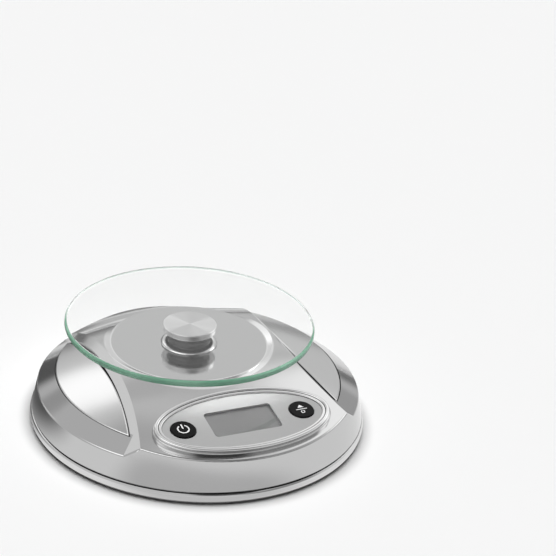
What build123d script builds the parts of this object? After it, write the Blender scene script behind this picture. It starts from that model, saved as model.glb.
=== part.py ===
from build123d import *
from math import cos, radians, sin, sqrt
import os

# Round electronic kitchen scale: a low silver housing with an arched bridge from front to
# back, a lens-shaped cover on each side, an oval console at the front, and a round glass
# tray on a short post.  Millimetres, +Z up, front towards -Y, origin on the table under the
# middle of the base.

# ---------------------------------------------------------------- driving dimensions
base_r = 96.0            # widest radius, at the base ring
joint_r = 95.0           # housing radius where it meets the base ring
joint_z = 8.0            # height of that joint line
wall_lean = 0.2          # inward lean of the wall, mm per mm of height
crease_z = 21.5          # top of the wall beside the side covers
shoulder_r = 82.5        # inner edge of the sloping shoulder
shoulder_z = 27.6
shell = 2.2              # wall thickness of the mouldings

tray_y = 16.8            # the tray's axis, behind the middle of the base
deck_half = 100.0
deck_arch = [            # (y, z, fall): crown of the bridge, and its cross arc's drop at deck_half
    (-99, 23.9, 5), (-62, 31.0, 5), (-34, 36.5, 5), (-8, 39.5, 5),
    (17, 40.4, 5), (42, 39.2, 8), (66, 33.6, 22), (97, 23.6, 34),
]
rib_half = 49.3          # half width of the deck between its side ribs, beside the tray
rib_r = 280.0            # radius of those waisted ribs
bevel_in, bevel_down = 27.0, 21.5     # sloping flank outside each rib

waist_half = 53.6        # half width where the side covers begin, beside the tray
waist_r = 275.0

cover_r = 278.4          # spherical top of the side covers
cover_centre_z = -237.8
cover_t = 1.8
cover_edge_r = 88.0      # outer edge arc of a side cover
cover_shift, cover_y = 7.0, 1.5       # its centre lies across the axis, and a little behind
cover_gap = 0.45
seat_drop = cover_t + 0.05            # from the covers' sphere down to their seat

tray_r, tray_z, tray_t = 71.8, 50.6, 4.0
hub_r, hub_t = 15.6, 3.7
bond_t = 0.05            # bond line between the hub and the glass
post_r = 12.6
dish_r, dish_z = 45.6, 38.2
dish_outer_r, dish_rise = 49.5, 1.1

console_y, console_z = -62.0, 32.3
console_tilt = 10.0      # the console leans down towards the front
panel_a, panel_b, panel_t = 48.2, 21.7, 1.6
bezel_a, bezel_b = 51.6, 25.1
window_w, window_h = 40.0, 20.4
key_x, key_r, key_travel = 35.5, 7.1, 0.6

floor_z, floor_t = 1.0, 2.2
floor_top = floor_z + floor_t
boss_z = 5.4             # where the screw bosses meet the bottom cover's pads
foot_ring_r = 74.0
screw_ring_r = 84.0

cell_l, cell_w, cell_z, cell_h = 70.0, 12.7, 8.2, 12.7
cell_hole_x = (27.0, 32.0)
plate_z, plate_t = 22.4, 2.5

battery_d, battery_l = 10.5, 44.5
battery_rows = (49.6, 61.4)
battery_z = 9.8
bay_x, bay_front, bay_back, bay_top = 28.0, 42.5, 72.5, 16.2
door_front, door_back, door_half = 43.5, 69.0, 24.0
slit = 0.3               # gap round the battery door

os.makedirs("parts", exist_ok=True)
console = Plane(
    origin=(0, console_y, console_z),
    x_dir=(1, 0, 0),
    z_dir=(0, -sin(radians(console_tilt)), cos(radians(console_tilt))),
)
tray_axis = Plane(origin=(0, tray_y, 0), x_dir=(1, 0, 0), z_dir=(0, -1, 0))


def save(part, name):
    """Label a finished piece and write it as one STEP file."""
    part.label = name
    export_step(part, f"parts/{name}.step")
    print(f"{name:24s} {part.volume / 1000:9.3f} cm3")


def wall_r(z):
    """Outer radius of the leaning wall at height z."""
    return joint_r - wall_lean * (z - joint_z)


def cap_z(radius, drop):
    """Height of the side covers' sphere, lowered by drop, at a radius from the axis."""
    return cover_centre_z + sqrt((cover_r - drop) ** 2 - radius**2)


def waist_outline(half, radius):
    """Closed plan outline of a bridge with waisted sides of a radius, half wide beside the tray."""
    reach = 120.0
    end = half + radius - sqrt(radius**2 - reach**2)
    front, back = tray_y - reach, tray_y + reach
    with BuildLine() as outline:
        Line((-end, front), (end, front))
        ThreePointArc((end, front), (half, tray_y), (end, back))
        Line((end, back), (-end, back))
        ThreePointArc((-end, back), (-half, tray_y), (-end, front))
    return outline.line


def deck_block(drop):
    """Solid under the arched, slightly crowned deck, lowered by drop."""
    with BuildPart() as block:
        for y, z, fall in deck_arch:
            top, edge = z - drop, z - drop - fall
            with BuildSketch(Plane.XZ.offset(-y)):
                with BuildLine():
                    Polyline((deck_half, edge), (deck_half, -15), (-deck_half, -15), (-deck_half, edge))
                    ThreePointArc((-deck_half, edge), (0, top), (deck_half, edge))
                make_face()
        loft()
    return block.part


def wall_cone(inset, low=joint_z, top=60.0):
    """Solid inside the leaning wall, moved in by inset, from height low to height top."""
    with BuildPart() as cone:
        with BuildSketch(Plane.XZ):
            with BuildLine():
                Polyline(
                    (0, low), (wall_r(low) - inset, low), (wall_r(top) - inset, top), (0, top),
                    (0, low),
                )
            make_face()
        revolve(axis=Axis.Z)
    return cone.part


def on_wall(edge):
    """True for an edge that lies on the leaning outer wall, above its middle."""
    points = [edge.position_at(t) for t in (0.1, 0.5, 0.9)]
    return all(p.Z > 18 and abs(sqrt(p.X**2 + p.Y**2) - wall_r(p.Z)) < 0.02 for p in points)


# ---------------------------------------------------------------- top housing
with BuildPart() as bridge:
    add(deck_block(0))
    with BuildSketch(Plane.XY):
        add(waist_outline(rib_half + bevel_in, rib_r - bevel_in))
        make_face()
    extrude(amount=60, mode=Mode.INTERSECT)
    add(wall_cone(-6, low=5), mode=Mode.INTERSECT)
    deck_face = bridge.faces().sort_by(Axis.Z)[-1]
    sides = deck_face.edges().sort_by(Axis.X)
    chamfer([sides[0], sides[-1]], length=bevel_in, length2=bevel_down, reference=deck_face)

with BuildPart() as cover_pocket:
    with BuildSketch(Plane.XZ):
        with BuildLine():
            far_r = 90.0
            seat = [(r, cap_z(r, seat_drop)) for r in (0, far_r / 2, far_r)]
            ThreePointArc(*seat)
            Polyline(seat[2], (far_r, 60), (0, 60), seat[0])
        make_face()
    revolve(axis=Axis.Z)
    with BuildSketch(Plane.XY):
        with Locations((-cover_shift, cover_y)):
            Circle(cover_edge_r + cover_gap)
        with Locations((cover_shift, cover_y)):
            Circle(cover_edge_r + cover_gap, mode=Mode.INTERSECT)
        add(waist_outline(waist_half, waist_r))
        make_face(mode=Mode.SUBTRACT)
    extrude(amount=80, mode=Mode.INTERSECT)

with BuildPart() as crown:
    with BuildSketch(Plane.XZ):
        with BuildLine():
            slope = (shoulder_z - crease_z) / (wall_r(crease_z) - shoulder_r)
            out_r, top_r = joint_r + 3, shoulder_r - 2
            dome = [(r, cap_z(r, seat_drop)) for r in (top_r, top_r / 2, 0)]
            Polyline(
                (0, joint_z), (out_r, joint_z), (out_r, shoulder_z + (shoulder_r - out_r) * slope),
                (top_r, shoulder_z + (shoulder_r - top_r) * slope), dome[0],
            )
            ThreePointArc(*dome)
            Line(dome[2], (0, joint_z))
        make_face()
    revolve(axis=Axis.Z)
    with BuildSketch(Plane.XY):
        add(waist_outline(rib_half - 1.5, rib_r))
        make_face()
    extrude(amount=60, mode=Mode.SUBTRACT)
    add(bridge.part)
    add(wall_cone(0), mode=Mode.INTERSECT)
    fillet(crown.edges().filter_by(on_wall), radius=1.2)
    add(cover_pocket.part, mode=Mode.SUBTRACT)

with BuildPart() as cavity_sides:
    with BuildSketch(Plane.XZ):
        with BuildLine():
            in_r = shoulder_r - 1.5
            drop = cover_t + shell
            Polyline(
                (0, joint_z - 1), (joint_r - 2.4, joint_z - 1), (wall_r(crease_z) - 2.3, crease_z - 0.9),
                (in_r, cap_z(in_r, drop)),
            )
            ThreePointArc(
                (in_r, cap_z(in_r, drop)), (in_r / 2, cap_z(in_r / 2, drop)), (0, cap_z(0, drop))
            )
            Line((0, cap_z(0, drop)), (0, joint_z - 1))
        make_face()
    revolve(axis=Axis.Z)
    with BuildSketch(Plane.XY):
        add(waist_outline(waist_half - 8, waist_r))
        make_face()
    extrude(amount=60, mode=Mode.SUBTRACT)

with BuildPart() as cavity_bridge:
    add(deck_block(2.4))
    with BuildSketch(Plane.XY):
        add(waist_outline(waist_half - 8, waist_r))
        make_face()
    extrude(amount=dish_z - 2.4, mode=Mode.INTERSECT)
    add(wall_cone(2.4, low=5), mode=Mode.INTERSECT)

screw_places = PolarLocations(screw_ring_r, 6, start_angle=30)
pcb_posts = GridLocations(57, 19, 2, 2)

with BuildPart() as screw_bosses:
    with BuildSketch(Plane.XY.offset(boss_z)):
        with screw_places:
            Circle(3.6)
    extrude(amount=30)
    with BuildSketch(Plane.XY.offset(boss_z)):
        with screw_places:
            Circle(1.55)
    extrude(amount=13, mode=Mode.SUBTRACT)
    add(crown.part, mode=Mode.INTERSECT)

with BuildPart() as top_housing:
    add(crown.part)
    # level round dish under the tray, flush with the deck at the front and sunk at its sides
    with BuildSketch(tray_axis):
        with BuildLine():
            Polyline((0, 30), (dish_r + 4, 34.4), (dish_r, dish_z), (0, dish_z), (0, 30))
        make_face()
    revolve(axis=Axis((0, tray_y, 0), (0, 0, 1)))
    with BuildSketch(tray_axis):
        with BuildLine():
            Polyline(
                (0, dish_z), (dish_r, dish_z), (dish_outer_r, dish_z + dish_rise),
                (dish_outer_r, 50), (0, 50), (0, dish_z),
            )
        make_face()
    revolve(axis=Axis((0, tray_y, 0), (0, 0, 1)), mode=Mode.SUBTRACT)
    # raised oval pedestal of the console
    with BuildSketch(console.offset(-6)):
        Ellipse(bezel_a + 0.9, bezel_b + 0.9)
    extrude(amount=6)
    rim = top_housing.faces().filter_by(lambda f: f.normal_at().dot(console.z_dir) > 0.9999)
    rim = rim.sort_by(lambda f: (f.center() - console.origin).length)[0]
    fillet(rim.edges(), radius=0.8)
    # hollow inside
    add(cavity_sides.part, mode=Mode.SUBTRACT)
    add(cavity_bridge.part, mode=Mode.SUBTRACT)
    add(screw_bosses.part)
    # posts for the circuit board
    with BuildSketch(console.offset(-6.6)):
        with pcb_posts:
            Circle(2.4)
    extrude(amount=4.0)
    # pocket for the panel, then its openings
    with BuildSketch(console):
        Ellipse(panel_a, panel_b)
    extrude(amount=-panel_t, mode=Mode.SUBTRACT)
    with BuildSketch(console.offset(-panel_t)):
        RectangleRounded(47, 27, 1)
        with Locations((-key_x, 0), (key_x, 0)):
            Circle(key_r + 1.2)
    extrude(amount=-3.4, mode=Mode.SUBTRACT)
    with BuildSketch(console.offset(-6.6)):
        with pcb_posts:
            Circle(0.95)
    extrude(amount=3.4, mode=Mode.SUBTRACT)
    # hole for the post
    with BuildSketch(Plane.XY.offset(30)):
        with Locations((0, tray_y)):
            Circle(post_r + 0.6)
    extrude(amount=15, mode=Mode.SUBTRACT)
save(top_housing.part, "top_housing")


# ---------------------------------------------------------------- side covers
def side_cover(side):
    """Convex lens-shaped cover beside the bridge; side is -1 for left, +1 for right."""
    tip_reach = 75.0
    inner = waist_half + cover_gap
    far = inner + waist_r - sqrt(waist_r**2 - tip_reach**2)
    front, back = tray_y - tip_reach, tray_y + tip_reach
    with BuildPart() as cover:
        with BuildSketch(Plane.XZ):
            with BuildLine():
                edge = 95.0
                top = [(r, cap_z(r, 0)) for r in (0, edge / 2, edge)]
                low = [(r, cap_z(r, cover_t)) for r in (0, edge / 2, edge)]
                ThreePointArc(*top)
                Line(top[2], low[2])
                ThreePointArc(*low)
                Line(low[0], top[0])
            make_face()
        revolve(axis=Axis.Z)
        with BuildSketch(Plane.XY):
            with Locations((-side * cover_shift, cover_y)):
                Circle(cover_edge_r)
            with BuildLine():
                Polyline((side * far, front), (side * 120, front), (side * 120, back), (side * far, back))
                ThreePointArc((side * far, back), (side * inner, tray_y), (side * far, front))
            make_face(mode=Mode.INTERSECT)
        extrude(amount=60, mode=Mode.INTERSECT)
        skin = cover.faces().sort_by(Axis.Z)[-1]
        fillet(skin.edges(), radius=0.9)
    return cover.part


save(side_cover(-1), "left_side_cover")
save(side_cover(1), "right_side_cover")

# ---------------------------------------------------------------- base ring and bottom cover
with BuildPart() as base_ring:
    with BuildSketch(Plane.XZ):
        with BuildLine():
            ring_in = 91.4
            Polyline(
                (base_r - 0.9, 2.1), (ring_in, 2.1), (ring_in, joint_z), (joint_r - 1.0, joint_z),
                (joint_r - 0.6, 7.2), (joint_r + 0.3, 6.9),
            )
            ThreePointArc((joint_r + 0.3, 6.9), (base_r, 5.0), (base_r - 0.9, 2.1))
        make_face()
    revolve(axis=Axis.Z)
save(base_ring.part, "base_ring")

feet_places = PolarLocations(foot_ring_r, 4, start_angle=45)
with BuildPart() as bottom_cover:
    with BuildSketch(Plane.XZ):
        with BuildLine():
            Polyline(
                (0, floor_z), (94.2, floor_z), (94.8, 1.6), (94.8, 2.1), (91.2, 2.1), (91.2, 6.6),
                (89.2, 6.6), (89.2, floor_top), (0, floor_top), (0, floor_z),
            )
        make_face()
    revolve(axis=Axis.Z)
    # pads under the screw bosses
    with BuildSketch(Plane.XY.offset(floor_z)):
        with screw_places:
            Circle(5.0)
    extrude(amount=boss_z - floor_z)
    # pedestal for the fixed end of the load cell
    with BuildSketch(Plane.XY.offset(floor_top)):
        with Locations((-cell_l / 2 + 5, tray_y)):
            RectangleRounded(22, 20, 2)
    extrude(amount=2.4)
    # boss for the overload stop screw, under the free end
    with BuildSketch(Plane.XY.offset(floor_top)):
        with Locations((cell_l / 2 - 6, tray_y)):
            Circle(4.0)
    extrude(amount=2.0)
    # stiffening ribs across the floor
    with BuildSketch(Plane.XY.offset(floor_top)):
        with Locations((0, -12), (0, -52)):
            Rectangle(130, 1.6)
        with Locations((-58, -8), (58, -8)):
            Rectangle(1.6, 86)
    extrude(amount=1.8)
    # recesses for the feet
    with BuildSketch(Plane.XY.offset(floor_z)):
        with feet_places:
            Circle(7.05)
    extrude(amount=0.9, mode=Mode.SUBTRACT)
    # screw holes with head recesses
    with screw_places:
        Hole(radius=1.7)
    with BuildSketch(Plane.XY.offset(floor_z)):
        with screw_places:
            Circle(3.3)
    extrude(amount=2.2, mode=Mode.SUBTRACT)
    # holes for the load cell screws
    with BuildSketch(Plane.XY.offset(floor_z)):
        with Locations(*[(-x, tray_y) for x in cell_hole_x]):
            Circle(2.1)
    extrude(amount=10, mode=Mode.SUBTRACT)
    with BuildSketch(Plane.XY.offset(floor_z)):
        with Locations((-(cell_hole_x[0] + cell_hole_x[1]) / 2, tray_y)):
            SlotOverall(13, 8)
    extrude(amount=1.8, mode=Mode.SUBTRACT)
    # threaded hole of the stop screw
    with BuildSketch(Plane.XY.offset(floor_z)):
        with Locations((cell_l / 2 - 6, tray_y)):
            Circle(1.55)
    extrude(amount=10, mode=Mode.SUBTRACT)
    # opening of the battery bay, and the notch for the door's snap
    with BuildSketch(Plane.XY.offset(floor_z)):
        with Locations((0, (door_front + door_back) / 2)):
            Rectangle(2 * door_half + 2 * slit, door_back - door_front)
        with Locations((0, door_front)):
            Rectangle(13, 5)
    extrude(amount=10, mode=Mode.SUBTRACT)
save(bottom_cover.part, "bottom_cover")

with BuildPart() as rubber_feet:
    with BuildSketch(Plane.XY):
        with feet_places:
            Circle(7.0)
    extrude(amount=floor_z + 0.9)
    fillet(rubber_feet.edges().group_by(Axis.Z)[0], radius=0.5)
save(rubber_feet.part, "rubber_feet")


def cross_screws(places, head_r, head_h, shank_r, shank_l):
    """Identical pan-head screws, heads down, with a cross slot; places sit under the head."""
    with BuildPart() as group:
        with places:
            Cylinder(head_r, head_h, align=(Align.CENTER, Align.CENTER, Align.MAX))
            Cylinder(shank_r, shank_l, align=(Align.CENTER, Align.CENTER, Align.MIN))
            with Locations((0, 0, -head_h)):
                Box(1.3 * head_r, 0.28 * head_r, 0.9, mode=Mode.SUBTRACT)
                Box(0.28 * head_r, 1.3 * head_r, 0.9, mode=Mode.SUBTRACT)
    return group.part


# ---------------------------------------------------------------- console
def oval_ring(plane, outer, inner, height, round_over):
    """Oval ring standing on a plane, with its top edges rounded."""
    with BuildPart() as ring:
        with BuildSketch(plane):
            Ellipse(*outer)
            Ellipse(*inner, mode=Mode.SUBTRACT)
        extrude(amount=height)
        top = ring.faces().sort_by(lambda f: (f.center() - plane.origin).dot(plane.z_dir))[-1]
        fillet(top.edges(), radius=round_over)
    return ring.part


bead_a, bead_b = bezel_a - 2.2, bezel_b - 2.2
with BuildPart() as console_bezel:
    add(oval_ring(console, (bezel_a, bezel_b), (bead_a, bead_b), 1.5, 0.7))
    add(oval_ring(console, (bead_a, bead_b), (bead_a - 1.9, bead_b - 1.9), 0.9, 0.5))
save(console_bezel.part, "console_bezel")

with BuildPart() as console_panel:
    with BuildSketch(console):
        Ellipse(panel_a - 0.1, panel_b - 0.1)
        RectangleRounded(window_w, window_h, 2.0, mode=Mode.SUBTRACT)
        with Locations((-key_x, 0), (key_x, 0)):
            Circle(key_r + 0.3, mode=Mode.SUBTRACT)
    extrude(amount=-panel_t)
save(console_panel.part, "console_panel")

with BuildPart() as display_window:
    with BuildSketch(console.offset(-panel_t)):
        RectangleRounded(44, 24, 1.5)
    extrude(amount=-0.8)
    with BuildSketch(console.offset(-panel_t)):
        RectangleRounded(window_w - 0.2, window_h - 0.2, 1.9)
    extrude(amount=panel_t - 0.6)
save(display_window.part, "display_window")

glass_low, board_top, board_t = -5.4, -6.6, 1.6
with BuildPart() as lcd_module:
    with BuildSketch(console.offset(glass_low)):
        Rectangle(42, 23)
    extrude(amount=2.8)
save(lcd_module.part, "lcd_module")

with BuildPart() as lcd_frame:
    with BuildSketch(console.offset(board_top)):
        RectangleRounded(46.4, 26.4, 0.8)
        Rectangle(42.2, 23.2, mode=Mode.SUBTRACT)
    extrude(amount=4.2)
    with BuildSketch(console.offset(board_top)):
        Rectangle(43, 14)
        Rectangle(36, 14, mode=Mode.SUBTRACT)
    extrude(amount=glass_low - board_top)
save(lcd_frame.part, "lcd_frame")

with BuildPart() as lcd_contact_strips:
    with BuildSketch(console.offset(board_top)):
        with Locations((0, 9.5), (0, -9.5)):
            Rectangle(38, 2.4)
    extrude(amount=glass_low - board_top)
save(lcd_contact_strips.part, "lcd_contact_strips")

with BuildPart() as main_board:
    with BuildSketch(console.offset(board_top)):
        RectangleRounded(86, 27, 4)
        with pcb_posts:
            Circle(1.2, mode=Mode.SUBTRACT)
    extrude(amount=-board_t)
save(main_board.part, "main_board")

board_low = console.offset(board_top - board_t)
with BuildPart() as board_screws:
    with BuildSketch(board_low):
        with pcb_posts:
            Circle(2.0)
    extrude(amount=-1.3)
    with BuildSketch(board_low):
        with pcb_posts:
            Circle(0.9)
    extrude(amount=4.4)
    with BuildSketch(board_low.offset(-1.3)):
        with pcb_posts:
            Rectangle(2.6, 0.5)
            Rectangle(0.5, 2.6)
    extrude(amount=0.7, mode=Mode.SUBTRACT)
save(board_screws.part, "board_screws")


def under_board(name, places, width, depth, height, corner=0.3):
    """Rectangular components on the board's underside."""
    with BuildPart() as item:
        with BuildSketch(board_low):
            with Locations(*places):
                RectangleRounded(width, depth, corner)
        extrude(amount=-height)
    save(item.part, name)


under_board("controller_chip", [(2, 2)], 10, 10, 1.6)
under_board("converter_chip", [(-14, 2)], 6, 5, 1.4)
under_board("crystal", [(14, 6)], 7, 2.6, 2.6, 1.2)
under_board("cell_socket", [(-19, -7)], 10, 4.5, 5)
under_board("power_socket", [(19, -7)], 6, 4.5, 5)

with BuildPart() as capacitors:
    with BuildSketch(board_low):
        with Locations((-8, -8), (10, -8), (20, 7)):
            Circle(2.0)
    extrude(amount=-5)
save(capacitors.part, "capacitors")

switch_h = 1.9
with BuildPart() as key_switches:
    with BuildSketch(console.offset(board_top)):
        with Locations((-key_x, 0), (key_x, 0)):
            RectangleRounded(6, 6, 0.4)
    extrude(amount=switch_h)
    with BuildSketch(console.offset(board_top + 0.3)):
        with Locations((-key_x, 0), (key_x, 0)):
            Circle(1.8)
    extrude(amount=switch_h, mode=Mode.SUBTRACT)
save(key_switches.part, "key_switches")

stem_low = -3.9


def key(side, name):
    """Round key cap with its retaining flange and stem."""
    with BuildPart() as cap:
        with BuildSketch(console.offset(-panel_t - 0.1)):
            with Locations((side * key_x, 0)):
                Circle(key_r + 0.8)
        extrude(amount=-1.0)
        with BuildSketch(console.offset(-panel_t - 0.1)):
            with Locations((side * key_x, 0)):
                Circle(key_r)
        extrude(amount=panel_t + 0.8)
        top = cap.faces().sort_by(lambda f: (f.center() - console.origin).dot(console.z_dir))[-1]
        fillet(top.edges(), radius=0.5)
        with BuildSketch(console.offset(stem_low)):
            with Locations((side * key_x, 0)):
                Circle(2.5)
        extrude(amount=1.5)
    save(cap.part, name)


def plunger(side, name):
    """Plunger of a key's switch, which the key's stem pushes."""
    with BuildPart() as pin:
        with BuildSketch(console.offset(stem_low)):
            with Locations((side * key_x, 0)):
                Circle(1.7)
        extrude(amount=-1.7)
    save(pin.part, name)


key(-1, "power_key")
key(1, "tare_key")
plunger(-1, "power_plunger")
plunger(1, "tare_plunger")

# ---------------------------------------------------------------- load cell and platform
with BuildPart() as load_cell:
    with BuildSketch(Plane.XY.offset(cell_z)):
        with Locations((0, tray_y)):
            Rectangle(cell_l, cell_w)
    extrude(amount=cell_h)
    # flexure window: two round holes joined by a slot
    with BuildSketch(Plane.XZ.offset(-tray_y + cell_w)):
        with Locations((0, cell_z + cell_h / 2)):
            with Locations((-8, 0), (8, 0)):
                Circle(5.2)
            Rectangle(16, 3)
    extrude(amount=-2 * cell_w, mode=Mode.SUBTRACT)
    with BuildSketch(Plane.XY.offset(cell_z)):
        with Locations(*[(side * x, tray_y) for side in (-1, 1) for x in cell_hole_x]):
            Circle(1.65)
    extrude(amount=cell_h, mode=Mode.SUBTRACT)
save(load_cell.part, "load_cell")

with BuildPart() as cell_spacer:
    with BuildSketch(Plane.XY.offset(floor_top + 2.4)):
        with Locations((-cell_l / 2 + 6.5, tray_y)):
            Rectangle(15, cell_w)
        with Locations(*[(-x, tray_y) for x in cell_hole_x]):
            Circle(2.1, mode=Mode.SUBTRACT)
    extrude(amount=cell_z - floor_top - 2.4)
save(cell_spacer.part, "cell_spacer")

with BuildPart() as gauge_covers:
    for z, height in ((cell_z + cell_h, 0.8), (cell_z, -0.8)):
        with BuildSketch(Plane.XY.offset(z)):
            with Locations((-9.5, tray_y), (9.5, tray_y)):
                RectangleRounded(10, 9, 2)
        extrude(amount=height)
save(gauge_covers.part, "gauge_covers")

cell_base_places = Locations(*[(-x, tray_y, floor_z + 1.8 + 1.6) for x in cell_hole_x])
save(cross_screws(cell_base_places, 2.05, 1.6, 1.6, 12.0), "cell_base_screws")

with BuildPart() as load_plate:
    spacer_x = sum(cell_hole_x) / 2
    with BuildSketch(Plane.XY.offset(plate_z)):
        with Locations((9, tray_y)):
            RectangleRounded(54, 30, 6)
        with Locations(*[(x, tray_y) for x in cell_hole_x]):
            Circle(1.9, mode=Mode.SUBTRACT)
    extrude(amount=plate_t)
    with BuildSketch(Plane.XY.offset(cell_z + cell_h)):
        with Locations((spacer_x, tray_y)):
            Rectangle(12, cell_w)
        with Locations(*[(x, tray_y) for x in cell_hole_x]):
            Circle(1.9, mode=Mode.SUBTRACT)
    extrude(amount=plate_z - cell_z - cell_h)
    with BuildSketch(Plane.XY.offset(plate_z)):
        with Locations((0, tray_y)):
            Circle(2.3)
    extrude(amount=plate_t, mode=Mode.SUBTRACT)
save(load_plate.part, "load_plate")

with BuildPart() as plate_screws:
    with BuildSketch(Plane.XY.offset(plate_z + plate_t)):
        with Locations(*[(x, tray_y) for x in cell_hole_x]):
            Circle(2.35)
    extrude(amount=2.0)
    with BuildSketch(Plane.XY.offset(plate_z + plate_t)):
        with Locations(*[(x, tray_y) for x in cell_hole_x]):
            Circle(1.55)
    extrude(amount=-12)
    with BuildSketch(Plane.XY.offset(plate_z + plate_t + 2.0)):
        with Locations(*[(x, tray_y) for x in cell_hole_x]):
            RegularPolygon(1.2, 6)
    extrude(amount=-1.2, mode=Mode.SUBTRACT)
save(plate_screws.part, "plate_screws")

post_low = plate_z + plate_t
socket_r, socket_depth, flat_x = 8.05, 9.0, 6.5
with BuildPart() as load_post:
    with BuildSketch(tray_axis):
        with BuildLine():
            post_top = tray_z - hub_t
            Polyline((post_r, 41.5), (post_r, post_low), (0, post_low), (0, post_top), (post_r, post_top))
            ThreePointArc((post_r, post_top), (post_r - 0.7, 44.2), (post_r, 41.5))
        make_face()
    revolve(axis=Axis((0, tray_y, 0), (0, 0, 1)))
    # hollow core, above a floor that the post screw goes through
    with BuildSketch(Plane.XY.offset(post_low + 5)):
        with Locations((0, tray_y)):
            Circle(9.0)
    extrude(amount=tray_z - hub_t - socket_depth - post_low - 5, mode=Mode.SUBTRACT)
    # keyed socket for the tray's spigot
    with BuildSketch(Plane.XY.offset(tray_z - hub_t)):
        with Locations((0, tray_y)):
            Circle(socket_r)
        with Locations((flat_x + 5.05, tray_y)):
            Rectangle(10, 30, mode=Mode.SUBTRACT)
    extrude(amount=-socket_depth, mode=Mode.SUBTRACT)
    with BuildSketch(Plane.XY.offset(post_low)):
        with Locations((0, tray_y)):
            Circle(1.95)
    extrude(amount=6, mode=Mode.SUBTRACT)
save(load_post.part, "load_post")

with BuildPart() as post_screw:
    with BuildSketch(Plane.XY.offset(plate_z)):
        with Locations((0, tray_y)):
            Circle(2.9)
    extrude(amount=-1.0)
    with BuildSketch(Plane.XY.offset(plate_z)):
        with Locations((0, tray_y)):
            Circle(1.9)
    extrude(amount=plate_t + 4.6)
save(post_screw.part, "post_screw")

with BuildPart() as tray_hub:
    with BuildSketch(Plane.XY.offset(tray_z - hub_t)):
        with Locations((0, tray_y)):
            Circle(hub_r)
    extrude(amount=hub_t - bond_t)
    fillet(tray_hub.edges().filter_by(GeomType.CIRCLE), radius=0.6)
    with BuildSketch(Plane.XY.offset(tray_z - hub_t)):
        with Locations((0, tray_y)):
            Circle(socket_r - 0.05)
        with Locations((flat_x + 5, tray_y)):
            Rectangle(10, 30, mode=Mode.SUBTRACT)
    extrude(amount=-(socket_depth - 0.6))
save(tray_hub.part, "tray_hub")

with BuildPart() as glass_tray:
    with BuildSketch(Plane.XY.offset(tray_z)):
        with Locations((0, tray_y)):
            Circle(tray_r)
    extrude(amount=tray_t)
    fillet(glass_tray.edges(), radius=1.5)
save(glass_tray.part, "glass_tray")

with BuildPart() as post_ring:
    with BuildSketch(tray_axis):
        with BuildLine():
            bore_r, rim_r, ring_top = post_r + 0.5, post_r + 3.6, dish_z + 1.5
            Polyline((bore_r, ring_top - 0.6), (bore_r, dish_z), (rim_r, dish_z), (rim_r, ring_top - 0.8))
            ThreePointArc(
                (rim_r, ring_top - 0.8), (bore_r + 1.5, ring_top), (bore_r, ring_top - 0.6)
            )
        make_face()
    revolve(axis=Axis((0, tray_y, 0), (0, 0, 1)))
save(post_ring.part, "post_ring")

# ---------------------------------------------------------------- power
with BuildPart() as battery_holder:
    with BuildSketch(Plane.XY.offset(floor_top)):
        with Locations((0, (bay_front + bay_back) / 2)):
            Rectangle(2 * bay_x + 2.4, bay_back - bay_front + 2.4)
            Rectangle(2 * bay_x, bay_back - bay_front, mode=Mode.SUBTRACT)
    extrude(amount=bay_top - floor_top)
    with BuildSketch(Plane.XY.offset(bay_top)):
        with Locations((0, (bay_front + bay_back) / 2)):
            Rectangle(2 * bay_x + 2.4, bay_back - bay_front + 2.4)
    extrude(amount=1.2)
    # saddle between the two cells
    with BuildSketch(Plane.XY.offset(battery_z + battery_d / 2 + 0.3)):
        with Locations((0, sum(battery_rows) / 2)):
            Rectangle(50, 1.2)
    extrude(amount=bay_top - battery_z - battery_d / 2 - 0.3)
save(battery_holder.part, "battery_holder")


def lying_cell(y, flip):
    """One dry cell on its side, its button end towards flip."""
    with BuildPart() as cell:
        with BuildSketch(Plane(origin=(-flip * battery_l / 2, y, battery_z), z_dir=(flip, 0, 0))):
            Circle(battery_d / 2)
        extrude(amount=battery_l - 1)
        fillet(cell.edges(), radius=0.5)
        with BuildSketch(Plane(origin=(flip * (battery_l / 2 - 1), y, battery_z), z_dir=(flip, 0, 0))):
            Circle(1.9)
        extrude(amount=1)
    return cell.part


with BuildPart() as batteries:
    add(lying_cell(battery_rows[0], 1))
    add(lying_cell(battery_rows[1], -1))
save(batteries.part, "batteries")

plate_x = bay_x - 0.5
with BuildPart() as contact_plates:
    for side, y in ((1, battery_rows[0]), (-1, battery_rows[1])):
        with BuildSketch(Plane(origin=(side * plate_x, y, battery_z), z_dir=(side, 0, 0))):
            RectangleRounded(9, 9, 1.5)
        extrude(amount=0.4)
        with BuildSketch(Plane(origin=(side * battery_l / 2, y, battery_z), z_dir=(side, 0, 0))):
            Circle(2.4)
        extrude(amount=plate_x - battery_l / 2)
save(contact_plates.part, "contact_plates")


def contact_spring(side, y):
    """Conical spring that presses on a cell's flat end, with its backing plate."""
    free = plate_x - battery_l / 2
    with BuildPart() as spring:
        with BuildLine() as coil:
            Helix(
                pitch=(free - 0.6) / 3, height=free - 0.6, radius=2.0, cone_angle=14,
                center=(side * (battery_l / 2 + 0.3), y, battery_z), direction=(side, 0, 0),
            )
        start = coil.line @ 0
        along = coil.line % 0
        with BuildSketch(Plane(origin=start, z_dir=along)):
            Circle(0.3)
        sweep(path=coil.line, is_frenet=True)
    with BuildPart() as backing:
        with BuildSketch(Plane(origin=(side * plate_x, y, battery_z), z_dir=(side, 0, 0))):
            RectangleRounded(9, 9, 1.5)
        extrude(amount=0.4)
    return [spring.part, backing.part]


with BuildPart() as contact_springs:
    for side, y in ((-1, battery_rows[0]), (1, battery_rows[1])):
        for piece in contact_spring(side, y):
            add(piece)
save(contact_springs.part, "contact_springs")

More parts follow.
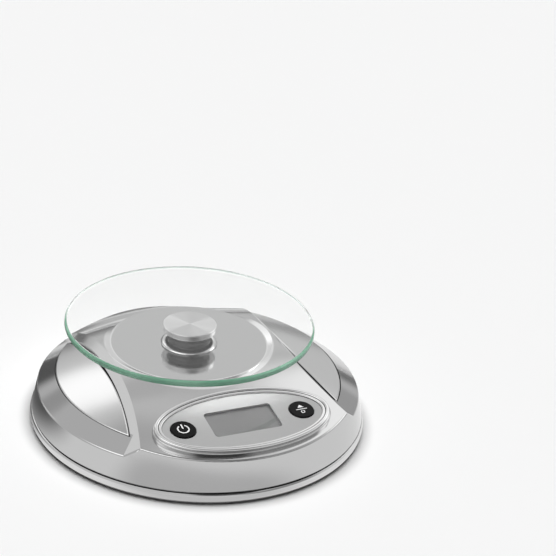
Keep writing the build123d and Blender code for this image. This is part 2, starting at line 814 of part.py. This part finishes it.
with BuildPart() as battery_door:
    with BuildSketch(Plane.XY.offset(floor_z)):
        with Locations((0, (door_front + door_back) / 2)):
            Rectangle(2 * door_half, door_back - door_front - 2 * slit)
        with Locations((0, door_front)):
            Rectangle(12, 4)
    extrude(amount=1.8)
    # grip ridges by the snap
    with BuildSketch(Plane.XY.offset(floor_z)):
        with Locations(*[(0, door_front + y) for y in (3.6, 5.2, 6.8, 8.4)]):
            Rectangle(16, 0.7)
    extrude(amount=0.5, mode=Mode.SUBTRACT)
    # two hooks that reach over the floor of the bottom cover
    for x in (-16, 16):
        with BuildSketch(Plane.YZ.offset(x - 3)):
            with BuildLine():
                Polyline(
                    (door_back - 1.9, 2.6), (door_back - 0.3, 2.6), (door_back - 0.3, 3.5),
                    (door_back + 2.2, 3.5), (door_back + 2.2, 4.6), (door_back - 1.9, 4.6),
                    (door_back - 1.9, 2.6),
                )
            make_face()
        extrude(amount=6)
save(battery_door.part, "battery_door")

# ---------------------------------------------------------------- screws of the base
with BuildPart() as housing_screws:
    with BuildSketch(Plane.XY.offset(floor_z + 2.2)):
        with screw_places:
            Circle(2.9)
    extrude(amount=-1.6)
    with BuildSketch(Plane.XY.offset(floor_z + 2.2)):
        with screw_places:
            Circle(1.5)
    extrude(amount=12)
    with BuildSketch(Plane.XY.offset(floor_z + 0.6)):
        with screw_places:
            Rectangle(3.6, 0.8)
            Rectangle(0.8, 3.6)
    extrude(amount=1.0, mode=Mode.SUBTRACT)
save(housing_screws.part, "housing_screws")

with BuildPart() as stop_screw:
    stop_x = cell_l / 2 - 6
    with BuildSketch(Plane.XY.offset(floor_z + 0.2)):
        with Locations((stop_x, tray_y)):
            Circle(1.5)
    extrude(amount=cell_z - 0.7 - floor_z - 0.2)
    with BuildSketch(Plane.XY.offset(floor_z + 0.2)):
        with Locations((stop_x, tray_y)):
            RegularPolygon(0.8, 6)
    extrude(amount=1.5, mode=Mode.SUBTRACT)
save(stop_screw.part, "stop_screw")


# ---------------------------------------------------------------- wiring inside the housing
def wire(points, radius, corner):
    """Round wire along straight runs joined by arcs."""
    with BuildPart() as lead:
        with BuildLine() as route:
            FilletPolyline(*points, radius=corner)
        with BuildSketch(Plane(origin=route.line @ 0, z_dir=route.line % 0)):
            Circle(radius)
        sweep(path=route.line)
    return lead.part


def board_point(x, y, below):
    """Point below the circuit board, at board coordinates x, y."""
    return tuple(console.from_local_coords(Vector(x, y, board_top - board_t - below)))


cell_lead = wire(
    [
        (-cell_l / 2, tray_y, 14.5), (-44, tray_y, 14.5), (-48, -4, 12), (-46, -34, 11),
        (-30, -52, 11), board_point(-19, -7, 10), board_point(-19, -7, 5),
    ],
    1.3, 4,
)
save(cell_lead, "load_cell_lead")

with BuildPart() as battery_leads:
    for x, foot in ((17.8, 9.0), (20.2, 12.4)):
        add(wire(
            [
                (x + 3, bay_front - 1.2, foot), (x + 3, bay_front - 6, foot), (48, 28, foot), (50, -30, foot),
                (34, -54, foot), board_point(x, -7, 10), board_point(x, -7, 5),
            ],
            0.7, 3,
        ))
save(battery_leads.part, "battery_leads")
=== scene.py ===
"""Looks of the round kitchen scale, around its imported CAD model.  Metres, +Z up, front towards -Y."""

from math import cos, radians, sin

import bmesh
import bpy
from mathutils import Matrix, Vector


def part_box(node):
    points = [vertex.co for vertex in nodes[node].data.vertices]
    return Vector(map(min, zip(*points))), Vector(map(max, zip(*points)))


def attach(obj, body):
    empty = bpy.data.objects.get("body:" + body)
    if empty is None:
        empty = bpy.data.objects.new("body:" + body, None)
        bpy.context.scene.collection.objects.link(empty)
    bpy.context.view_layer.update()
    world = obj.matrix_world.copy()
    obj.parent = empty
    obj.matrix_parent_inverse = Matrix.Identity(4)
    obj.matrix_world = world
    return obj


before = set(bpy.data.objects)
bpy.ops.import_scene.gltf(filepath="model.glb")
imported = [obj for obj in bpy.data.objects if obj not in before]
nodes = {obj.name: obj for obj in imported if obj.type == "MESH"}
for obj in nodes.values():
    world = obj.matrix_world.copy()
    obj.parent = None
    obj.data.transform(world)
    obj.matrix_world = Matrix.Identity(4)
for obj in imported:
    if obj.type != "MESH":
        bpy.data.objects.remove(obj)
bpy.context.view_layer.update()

# level directions on the object: away from the photograph's camera, and to that camera's right
away = Vector((0.41, 0.91, 0))
rightward = Vector((0.91, -0.41, 0))


# ------------------------------------------------------------------ shader nodes
def grey(value):
    return (value, value, value)


def feed(tree, socket, value):
    """Give an input socket its value: another socket, a number, a vector or a colour without alpha."""
    if isinstance(value, bpy.types.NodeSocket):
        tree.links.new(value, socket)
    elif socket.type == "RGBA":
        socket.default_value = (*value, 1)
    else:
        socket.default_value = value


def feed_all(tree, node, values):
    """Feed several inputs of a node, by name."""
    for name, value in values.items():
        feed(tree, node.inputs[name], value)


def add_node(tree, kind, **values):
    """A new node. Values named like one of its inputs feed that input, and the others are settings."""
    node = tree.nodes.new(kind)
    for name, value in values.items():
        if name in node.inputs:
            feed(tree, node.inputs[name], value)
        else:
            setattr(node, name, value)
    return node


def operate(tree, kind, operation, values):
    """A node that works on its first inputs in order."""
    node = add_node(tree, kind, operation=operation)
    for socket, value in zip(node.inputs, values):
        feed(tree, socket, value)
    return node


def number(tree, operation, *values):
    """Result of an operation on numbers."""
    return operate(tree, "ShaderNodeMath", operation, values).outputs["Value"]


def vector(tree, operation, *values):
    """Result of an operation on vectors, which is a number for a length or a dot product."""
    node = operate(tree, "ShaderNodeVectorMath", operation, values)
    return node.outputs["Value" if operation in ("LENGTH", "DOT_PRODUCT") else "Vector"]


# a Mix node's sockets for each kind of data: the first and second value among its inputs, and the result
mix_sockets = {"FLOAT": (2, 3, 0), "RGBA": (6, 7, 2)}


def mix(tree, kind, factor, first, second, blend="MIX"):
    """From first to second as factor runs from 0 to 1: numbers (FLOAT) or colours (RGBA)."""
    node = add_node(tree, "ShaderNodeMix", data_type=kind, blend_type=blend, Factor=factor)
    first_input, second_input, result = mix_sockets[kind]
    feed(tree, node.inputs[first_input], first)
    feed(tree, node.inputs[second_input], second)
    return node.outputs[result]


def remap(tree, value, low, high, first, last, shape="SMOOTHSTEP"):
    """A number that runs from first to last as value runs from low to high, and stays level outside."""
    node = add_node(tree, "ShaderNodeMapRange", interpolation_type=shape, Value=value)
    feed_all(tree, node, {"From Min": low, "From Max": high, "To Min": first, "To Max": last})
    return node.outputs["Result"]


def spread(tree, factor, low, high):
    """A number that runs evenly from low to high as factor runs from 0 to 1."""
    return remap(tree, factor, 0.0, 1.0, low, high, "LINEAR")


def step(tree, value, none_at, full_at):
    """Smooth step from 0 at none_at to 1 at full_at, whichever of the two is larger."""
    return remap(tree, value, none_at, full_at, 0.0, 1.0)


def two_tone(tree, factor, dark, light):
    """A colour between dark and light by factor."""
    ramp = add_node(tree, "ShaderNodeValToRGB", Fac=factor)
    ramp.color_ramp.elements[0].color = (*dark, 1)
    ramp.color_ramp.elements[1].color = (*light, 1)
    return ramp.outputs["Color"]


def object_point(tree):
    """The surface point in the object's own space, in metres."""
    return add_node(tree, "ShaderNodeTexCoord").outputs["Object"]


def level(tree, offset):
    """The level part of a vector, and the length of that part."""
    flat = vector(tree, "MULTIPLY", offset, (1, 1, 0))
    return flat, vector(tree, "LENGTH", flat)


def noise(tree, point, scale, detail=2.0, roughness=0.5):
    """Cloudy values round 0.5, with features about 1 / scale metres across."""
    kind = "ShaderNodeTexNoise"
    return add_node(tree, kind, Vector=point, Scale=scale, Detail=detail, Roughness=roughness).outputs["Fac"]


def shades(colour, part):
    """The colour made darker and lighter by that part of itself."""
    return tuple(c * (1 - part) for c in colour), tuple(min(1.0, c * (1 + part)) for c in colour)


def paint_seam_shade(tree, colour, reach, closed=0.15, open_at=0.62):
    """Colour with painted shade in gaps and grooves, by how open the surroundings are within reach.

    It is darkest where the open share is below closed, and itself where it is above open_at.
    """
    openness = add_node(tree, "ShaderNodeAmbientOcclusion", Distance=reach, samples=6).outputs["AO"]
    return mix(tree, "RGBA", step(tree, openness, closed, open_at), grey(0.02), colour)


# ------------------------------------------------------------------ kinds of material
# how near the other side of a gap has to be for painted shade on it, in metres
seam_reach = 0.0016


def new_material(name):
    """A new material, its node tree and its Principled shader."""
    material = bpy.data.materials.new(name)
    material.use_nodes = True
    return material, material.node_tree, material.node_tree.nodes["Principled BSDF"]


def bump(tree, shader, height, distance, strength=1.0):
    """Fine relief, distance metres deep, from a height between 0 and 1."""
    node = add_node(tree, "ShaderNodeBump", Strength=strength, Distance=distance, Height=height)
    feed(tree, shader.inputs["Normal"], node.outputs["Normal"])


def lacquered_metal(name, colour, roughness):
    """Silver lacquer: a metallic base with a fine flake, slow waviness and a clear coat."""
    material, tree, shader = new_material(name)
    point = object_point(tree)
    flakes = noise(tree, point, scale=2600, detail=1.0)
    cloud = noise(tree, point, scale=60, detail=3.0)
    tone = two_tone(tree, flakes, *shades(colour, 0.03))
    feed_all(tree, shader, {
        # painted shade in gaps and grooves
        "Base Color": paint_seam_shade(tree, tone, seam_reach),
        "Roughness": spread(tree, cloud, roughness * 0.9, roughness * 1.12),
        "Metallic": 1.0,
        "Coat Weight": 0.3,
        "Coat Roughness": 0.06,
    })
    bump(tree, shader, flakes, distance=0.000004)
    return material


def polished_metal(name, colour, roughness, seam=(seam_reach,)):
    """Plated or polished metal with faint handling smears."""
    material, tree, shader = new_material(name)
    smear = noise(tree, object_point(tree), scale=90, detail=4.0, roughness=0.6)
    feed_all(tree, shader, {
        # painted shade in gaps and grooves
        "Base Color": paint_seam_shade(tree, colour, *seam),
        "Roughness": spread(tree, smear, roughness * 0.7, roughness * 1.5),
        "Metallic": 1.0,
    })
    bump(tree, shader, smear, distance=0.00001)
    return material


def moulded(name, colour, roughness, grain=0.00002, grain_scale=1500, specular=0.5, seam=None):
    """Moulded plastic or rubber with a fine grain."""
    material, tree, shader = new_material(name)
    grains = noise(tree, object_point(tree), grain_scale, detail=3.0)
    tone = two_tone(tree, grains, *shades(colour, 0.07))
    feed_all(tree, shader, {
        # painted shade in gaps and grooves, where seam is given
        "Base Color": paint_seam_shade(tree, tone, *seam) if seam else tone,
        "Roughness": spread(tree, grains, roughness * 0.9, roughness * 1.1),
        "Specular IOR Level": specular,
    })
    bump(tree, shader, grains, grain)
    return material


def spun_metal(name, centre, colour, roughness):
    """Lathe-brushed metal: fine rings round an upright axis through centre, with a painted highlight in two
    brighter wedges.
    """
    material, tree, shader = new_material(name)
    offset = vector(tree, "SUBTRACT", object_point(tree), centre)
    outward, radius = level(tree, offset)
    height = add_node(tree, "ShaderNodeSeparateXYZ", Vector=offset).outputs["Z"]
    profile = add_node(tree, "ShaderNodeCombineXYZ", X=radius, Y=height).outputs["Vector"]
    rings = noise(tree, profile, scale=5200)
    # painted highlight: the colour is brighter in two wedges, to the left and right across the main view
    side = vector(tree, "DOT_PRODUCT", vector(tree, "NORMALIZE", outward), rightward)
    wedges = step(tree, number(tree, "ABSOLUTE", side), 0.62, 0.93)
    painted_sheen = mix(tree, "RGBA", wedges, grey(0.74), grey(1.0))
    lines = two_tone(tree, rings, tuple(c * 0.9 for c in colour), colour)
    along_rings = vector(tree, "NORMALIZE", vector(tree, "CROSS_PRODUCT", (0, 0, 1), outward))
    feed_all(tree, shader, {
        "Base Color": mix(tree, "RGBA", 1.0, lines, painted_sheen, "MULTIPLY"),
        "Metallic": 1.0,
        "Roughness": roughness,
        "Anisotropic": 0.85,
        "Tangent": along_rings,
    })
    bump(tree, shader, rings, distance=0.000012, strength=0.4)
    return material


def clear(name, ior):
    """Clear glass or clear plastic."""
    material, tree, shader = new_material(name)
    feed_all(tree, shader, {
        "Base Color": grey(1.0),
        "Transmission Weight": 1.0,
        "Roughness": 0.0,
        "IOR": ior,
    })
    return material


def tray_glass(centre, rim_r):
    """Clear tempered glass, green at its edge, where light has come a long way through it."""
    material = clear("tray_glass", 1.32)
    tree = material.node_tree
    point = object_point(tree)
    outward, radius = level(tree, vector(tree, "SUBTRACT", point, centre))
    # painted light: the rim is deep green in front and pale behind, for how light along the glass looks from
    # the front; the green tint is the glass's own
    behind = step(tree, vector(tree, "DOT_PRODUCT", outward, away / rim_r), -0.15, 0.45)
    # the coloured rim, with a soft inner edge, is wide in front and narrow behind
    wide_rim = step(tree, radius, rim_r - 0.0014, rim_r - 0.0009)
    narrow_rim = step(tree, radius, rim_r - 0.0005, rim_r - 0.0002)
    rim = mix(tree, "FLOAT", behind, wide_rim, narrow_rim)
    streaks = noise(tree, point, scale=45, detail=3.0, roughness=0.6)
    front_green = two_tone(tree, streaks, (0.0, 0.16, 0.06), (0.30, 0.58, 0.42))
    edge = mix(tree, "RGBA", behind, front_green, (0.74, 0.85, 0.80))
    feed_all(tree, tree.nodes["Principled BSDF"], {
        "Base Color": mix(tree, "RGBA", rim, (0.995, 1.0, 0.997), edge),
        "Transmission Weight": spread(tree, rim, 1.0, 0.3),
    })
    return material


def paint_ring_highlight(material, centre, inner, outer, colour):
    """Painted highlight: lacquer made brighter between two radii from an upright axis, most of all at the
    front.
    """
    tree = material.node_tree
    base = tree.nodes["Principled BSDF"].inputs["Base Color"]
    outward, radius = level(tree, vector(tree, "SUBTRACT", object_point(tree), centre))
    blur = 0.0004
    beyond_inner = step(tree, radius, inner - blur, inner + blur)
    within_outer = step(tree, radius, outer + blur, outer - 2 * blur)
    in_front = step(tree, vector(tree, "DOT_PRODUCT", outward, away / inner), 0.55, 0.0)
    factor = number(tree, "MULTIPLY", number(tree, "MULTIPLY", beyond_inner, within_outer), in_front)
    feed(tree, base, mix(tree, "RGBA", factor, base.links[0].from_socket, colour))


# ------------------------------------------------------------------ materials and the nodes they are on
tray_low, tray_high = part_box("glass_tray")
tray_centre = (tray_low + tray_high) / 2
tray_r = (tray_high.x - tray_low.x) / 2

housing_lacquer = lacquered_metal("silver_lacquer", grey(0.60), 0.10)
finishes = (
    (housing_lacquer, "top_housing"),
    (lacquered_metal("cover_lacquer", grey(0.74), 0.16), "left_side_cover", "right_side_cover"),
    # the base ring, post ring, bezel and console panel get painted shade that reaches further into their
    # grooves
    (
        polished_metal("bright_plating", grey(0.74), 0.08, seam=(0.0026, 0.40, 0.80)),
        "base_ring", "post_ring",
    ),
    (polished_metal("bezel_plating", grey(0.82), 0.05, seam=(0.0022, 0.40, 0.85)), "console_bezel"),
    (
        moulded(
            "panel_film", grey(0.38), 0.5,
            grain=0.00001, grain_scale=1800, specular=0.3, seam=(seam_reach, 0.35, 0.80),
        ),
        "console_panel",
    ),
    (
        moulded("floor_moulding", grey(0.30), 0.55, grain=0.00004, grain_scale=900),
        "bottom_cover", "battery_door",
    ),
    (moulded("foot_rubber", grey(0.03), 0.75, grain=0.00003, grain_scale=1200, specular=0.3), "rubber_feet"),
    (
        polished_metal("zinc_screws", grey(0.62), 0.3),
        "housing_screws", "board_screws", "crystal",
        "cell_base_screws", "stop_screw", "plate_screws", "post_screw",
    ),
    (clear("clear_window", 1.5), "display_window"),
    (moulded("display_glass", grey(0.062), 0.35, grain=0.0), "lcd_module"),
    (
        moulded("black_moulding", grey(0.02), 0.45),
        "lcd_frame", "controller_chip", "converter_chip", "capacitors", "key_switches", "battery_holder",
    ),
    (
        moulded("key_gloss", grey(0.004), 0.12, grain=0.000002, grain_scale=900, specular=0.12),
        "power_key", "tare_key",
    ),
    (
        moulded("white_moulding", (0.75, 0.74, 0.70), 0.45),
        "cell_socket", "power_socket", "power_plunger", "tare_plunger",
    ),
    (moulded("contact_rubber", grey(0.09), 0.7), "lcd_contact_strips"),
    (moulded("solder_mask", (0.01, 0.09, 0.03), 0.3, grain=0.00001, grain_scale=400), "main_board"),
    (polished_metal("machined_aluminium", grey(0.72), 0.28), "load_cell", "cell_spacer"),
    (moulded("gauge_silicone", (0.70, 0.70, 0.67), 0.5), "gauge_covers"),
    (polished_metal("zinc_plate", grey(0.52), 0.32), "load_plate"),
    (polished_metal("polished_post", grey(0.07), 0.08), "load_post"),
    (spun_metal("spun_hub", tray_centre, grey(0.97), 0.22), "tray_hub"),
    (tray_glass(tray_centre, tray_r), "glass_tray"),
    (moulded("cell_wrap", (0.03, 0.04, 0.06), 0.3), "batteries"),
    (polished_metal("nickel_contacts", (0.66, 0.62, 0.54), 0.22), "contact_plates", "contact_springs"),
    (moulded("cable_jacket", grey(0.22), 0.5), "load_cell_lead"),
    (moulded("wire_insulation", (0.35, 0.01, 0.01), 0.4), "battery_leads"),
)
# painted highlight on the band round the dish under the tray
paint_ring_highlight(housing_lacquer, tray_centre, inner=0.0448, outer=0.0492, colour=grey(0.92))

for material, *names in finishes:
    for name in names:
        nodes[name].data.materials.clear()
        nodes[name].data.materials.append(material)

# thin clear pieces let the light through, and the tray doesn't show in the lacquer below it
nodes["glass_tray"].visible_glossy = False
nodes["glass_tray"].visible_shadow = False
nodes["display_window"].visible_shadow = False


# ------------------------------------------------------------------ marks printed on the keys
# from the scale's middle line to the middle of a key, and from the console's plane up to the key's top
key_x = 0.0355
key_rise = 0.0007
key_slope = radians(10)
console_middle = Vector((0, -0.0620, 0.0323))
# half the thickness of a printed mark, which is half sunk into the key
half_film = 0.00006


def key_point(middle_x, across, along, lift):
    """Point on a key's sloping top: across to +X and along to the back from its middle, and lift off it."""
    back = Vector((0, cos(key_slope), sin(key_slope)))
    out = Vector((0, -sin(key_slope), cos(key_slope)))
    return console_middle + Vector((middle_x + across, 0, 0)) + back * along + out * (key_rise + lift)


def strip_faces(start, count):
    """Faces of a closed strip, whose four lines of count points are in order from vertex start on."""
    under_in, under_out, top_in, top_out = (start + line * count for line in range(4))
    for i in range(count - 1):
        yield (top_in + i, top_out + i, top_out + i + 1, top_in + i + 1)
        yield (under_in + i, under_in + i + 1, under_out + i + 1, under_out + i)
        yield (under_in + i, top_in + i, top_in + i + 1, under_in + i + 1)
        yield (under_out + i, under_out + i + 1, top_out + i + 1, top_out + i)
    last = count - 1
    yield (under_in, under_out, top_out, top_in)
    yield (under_in + last, top_in + last, top_out + last, under_out + last)


def key_mark(name, middle_x, strips, body):
    """Thin printed shapes on a key, each a closed strip between two lists of (across, along) points."""
    vertices = []
    faces = []
    for inner, outer in strips:
        faces.extend(strip_faces(len(vertices), len(inner)))
        for lift in (-half_film, half_film):
            for line in (inner, outer):
                vertices.extend(tuple(key_point(middle_x, x, y, lift)) for x, y in line)
    mesh = bpy.data.meshes.new(name)
    mesh.from_pydata(vertices, [], faces)
    mesh.validate()
    work = bmesh.new()
    work.from_mesh(mesh)
    bmesh.ops.recalc_face_normals(work, faces=work.faces)
    work.to_mesh(mesh)
    work.free()
    mark = bpy.data.objects.new(name, mesh)
    bpy.context.scene.collection.objects.link(mark)
    mesh.materials.append(key_ink)
    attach(mark, body)


def arc(radius, gap, along, steps=48):
    """Points of an arc round (0, along) on the key, clockwise, open by gap degrees each side of the back."""
    points = []
    for i in range(steps + 1):
        angle = radians(gap + (360 - 2 * gap) * i / steps)
        points.append((radius * sin(angle), along + radius * cos(angle)))
    return points


def ring(inner, outer, gap, along=0.0):
    """An almost closed ring."""
    return arc(inner, gap, along), arc(outer, gap, along)


def upright_bar(half_width, low, high):
    """A bar that runs along the key."""
    return [(-half_width, low), (-half_width, high)], [(half_width, low), (half_width, high)]


def cross_bar(half_length, low, high):
    """A bar that runs across the key."""
    return [(-half_length, high), (half_length, high)], [(-half_length, low), (half_length, low)]


def triangle(half_base, half_tip, low, high, tip):
    """A triangle that points to the back, with a blunt tip."""
    return (
        [(-half_base, low), (0.0, low), (half_base, low)],
        [(-half_tip, high), (0.0, tip), (half_tip, high)],
    )


key_ink = moulded("key_ink", grey(0.82), 0.5, grain=0.000002, grain_scale=900)
power_mark = (
    ring(inner=0.00275, outer=0.00350, gap=30),
    upright_bar(half_width=0.00038, low=0.0004, high=0.0041),
)
key_mark("power_mark", -key_x, power_mark, "power_button")
tare_mark = (
    cross_bar(half_length=0.0034, low=-0.0003, high=0.0002),
    triangle(half_base=0.0018, half_tip=0.0003, low=0.0014, high=0.0033, tip=0.0036),
    ring(inner=0.0007, outer=0.0012, gap=10, along=-0.0023),
)
key_mark("tare_mark", key_x, tare_mark, "tare_button")

# ------------------------------------------------------------------ floor
floor_half = 6.0
painted_shadow_r = 0.094
painted_shadow_edge_r = 0.104
mirror_half = 3.0
mirror_height = 0.0003
mirror_level = 0.88
# middle x and y, half width and half depth in metres, and how much brighter than mirror_level
# each row paints shade into the mirrored floor
mirror_shades = (
    (-0.125, 0.130, 0.100, 0.110, -0.76),
    (-0.065, -0.140, 0.110, 0.070, -0.26),
    (0.100, 0.900, 0.900, 0.550, -0.42),
    (0.045, 0.165, 0.090, 0.065, -0.42),
)


def square(name, half_side, material):
    """A level square round the origin."""
    corners = [(x * half_side, y * half_side, 0) for x, y in ((-1, -1), (1, -1), (1, 1), (-1, 1))]
    mesh = bpy.data.meshes.new(name)
    mesh.from_pydata(corners, [], [(0, 1, 2, 3)])
    mesh.materials.append(material)
    plane = bpy.data.objects.new(name, mesh)
    bpy.context.scene.collection.objects.link(plane)
    return plane


def soft_edge(tree, radius, amount):
    """amount inside radius 0.7, none outside radius 1.3, and smooth between."""
    return remap(tree, radius, 1.3, 0.7, 0.0, amount)


def total(tree, values):
    """Sum of all the values, added up in order."""
    result, *others = values
    for value in others:
        result = number(tree, "ADD", result, value)
    return result


def mirror_shade(tree, point, x, y, half_width, half_depth, amount):
    """A soft-edged oval patch of the mirrored floor, made darker or brighter by amount: painted shade or
    light.
    """
    offset = vector(tree, "SUBTRACT", point, (x, y, 0))
    ratio = vector(tree, "MULTIPLY", offset, (1 / half_width, 1 / half_depth, 0))
    return soft_edge(tree, vector(tree, "LENGTH", ratio), amount)


def floor_mirror():
    """The floor as the polished walls mirror it: a glowing card, a painted reflection with painted shade
    beside the scale; only reflections see it.
    """
    material = bpy.data.materials.new("mirrored_floor")
    material.use_nodes = True
    tree = material.node_tree
    tree.nodes.clear()
    point = object_point(tree)
    shade = total(tree, [mirror_shade(tree, point, *row) for row in mirror_shades])
    strength = number(tree, "ADD", shade, mirror_level)
    light = add_node(tree, "ShaderNodeEmission", Color=grey(1.0), Strength=strength)
    add_node(tree, "ShaderNodeOutputMaterial", Surface=light.outputs["Emission"])
    card = square("floor_mirror", mirror_half, material)
    card.location.z = mirror_height
    card.visible_camera = False
    card.visible_diffuse = False
    card.visible_shadow = False
    card.visible_transmission = False


def floor():
    """Pale seamless floor, with a painted shadow that makes it darker under the scale."""
    material, tree, shader = new_material("pale_floor")
    _, radius = level(tree, object_point(tree))
    # painted shadow: darker inside the first radius, fading out by the second
    beside = step(tree, radius, painted_shadow_r, painted_shadow_edge_r)
    feed_all(tree, shader, {
        "Base Color": mix(tree, "RGBA", beside, grey(0.60), grey(0.88)),
        "Roughness": 0.9,
        "Specular IOR Level": 0.0,
    })
    plane = square("floor", floor_half, material)


# ------------------------------------------------------------------ light
overhead_strength = 3.3
overhead_spread = 56
# the plain backdrop that shows behind the scale, and the general level of what it mirrors
backdrop_level = 0.91
sky_level = 0.62
# azimuth clockwise from +Y, elevation, half width and half height, all in degrees,
# and how much brighter than sky_level
sky_spots = (
    (3, 36, 13, 9, 0.72),
    (49, 41, 12, 9, 0.68),
    (11, 60, 14, 8, -0.20),
    (-17, 31, 7, 8, -0.20),
    (-33, 23, 9, 11, 0.30),
    (100, 81, 18, 14, -0.40),
    (-4, 4, 22, 12, -0.50),
    (40, -2, 24, 9, -0.40),
    (145, 10, 26, 12, -0.34),
    (-108, 48, 30, 16, 1.2),
    (82, 32, 14, 10, 1.3),
    (24, 28, 10, 7, 0.10),
    (62, 17, 9, 9, -0.16),
    (135, 55, 24, 12, -0.42),
    (-178, 28, 20, 11, -0.52),
    (31, 52, 9, 6, 0.12),
)


def overhead_light():
    """Very soft light from above, for the floor and matt pieces; it stays out of reflections."""
    data = bpy.data.lights.new("overhead", "SUN")
    data.energy = overhead_strength
    data.angle = radians(overhead_spread)
    light = bpy.data.objects.new("overhead", data)
    bpy.context.scene.collection.objects.link(light)
    light.location.z = 2
    light.visible_glossy = False


def towards(azimuth, elevation):
    """Unit vector at an azimuth clockwise from +Y and an elevation, in degrees."""
    a, e = radians(azimuth), radians(elevation)
    return Vector((sin(a) * cos(e), cos(a) * cos(e), sin(e)))


def sky_spot(tree, direction, azimuth, elevation, half_width, half_height, amount):
    """A soft-edged oval patch of the studio's surroundings, brighter or darker by amount."""
    centre = towards(azimuth, elevation)
    across = towards(azimuth + 90, 0)
    upward = across.cross(centre)
    x = vector(tree, "DOT_PRODUCT", direction, across / sin(radians(half_width)))
    y = vector(tree, "DOT_PRODUCT", direction, upward / sin(radians(half_height)))
    # the opposite direction has such an x and y too, so what is behind is put out of reach
    behind = number(tree, "LESS_THAN", vector(tree, "DOT_PRODUCT", direction, centre), 0.0)
    far_off = number(tree, "MULTIPLY", behind, 10.0)
    place = add_node(tree, "ShaderNodeCombineXYZ", X=x, Y=y, Z=far_off).outputs["Vector"]
    return soft_edge(tree, vector(tree, "LENGTH", place), amount)


def sky():
    """Plain grey surroundings; only reflections see their soft bright and dark patches."""
    world = bpy.data.worlds.new("studio")
    world.use_nodes = True
    world.cycles_visibility.diffuse = False
    tree = world.node_tree
    direction = add_node(tree, "ShaderNodeTexCoord").outputs["Generated"]
    spots = total(tree, [sky_spot(tree, direction, *row) for row in sky_spots])
    mirrored = number(tree, "ADD", spots, sky_level)
    path = add_node(tree, "ShaderNodeLightPath")
    direct = number(tree, "MAXIMUM", path.outputs["Is Camera Ray"], path.outputs["Is Transmission Ray"])
    strength = mix(tree, "FLOAT", direct, mirrored, backdrop_level)
    feed_all(tree, tree.nodes["Background"], {"Color": grey(1.0), "Strength": strength})
    return world


def studio():
    """Everything round the scale, and the plain view transform that suits it."""
    scene = bpy.context.scene
    scene.view_settings.view_transform = "Standard"
    scene.view_settings.look = "None"
    scene.world = sky()
    floor()
    floor_mirror()
    overhead_light()


studio()


# ------------------------------------------------------------------ camera
eye_place = (-0.4540, -1.0092, 0.6377)
eye_right = Vector((0.90786, -0.4143, 0.06444))
eye_up = Vector((0.13119, 0.42667, 0.89484))


def camera():
    """Looks down at the scale from its front left, as the photograph does."""
    data = bpy.data.cameras.new("camera")
    data.lens = 142.45
    data.sensor_width = 36.0
    data.clip_start, data.clip_end = 0.05, 50.0
    eye = bpy.data.objects.new("camera", data)
    bpy.context.scene.collection.objects.link(eye)
    turn = Matrix((eye_right, eye_up, eye_right.cross(eye_up))).transposed()
    eye.matrix_world = Matrix.Translation(eye_place) @ turn.to_4x4()
    bpy.context.scene.camera = eye


camera()
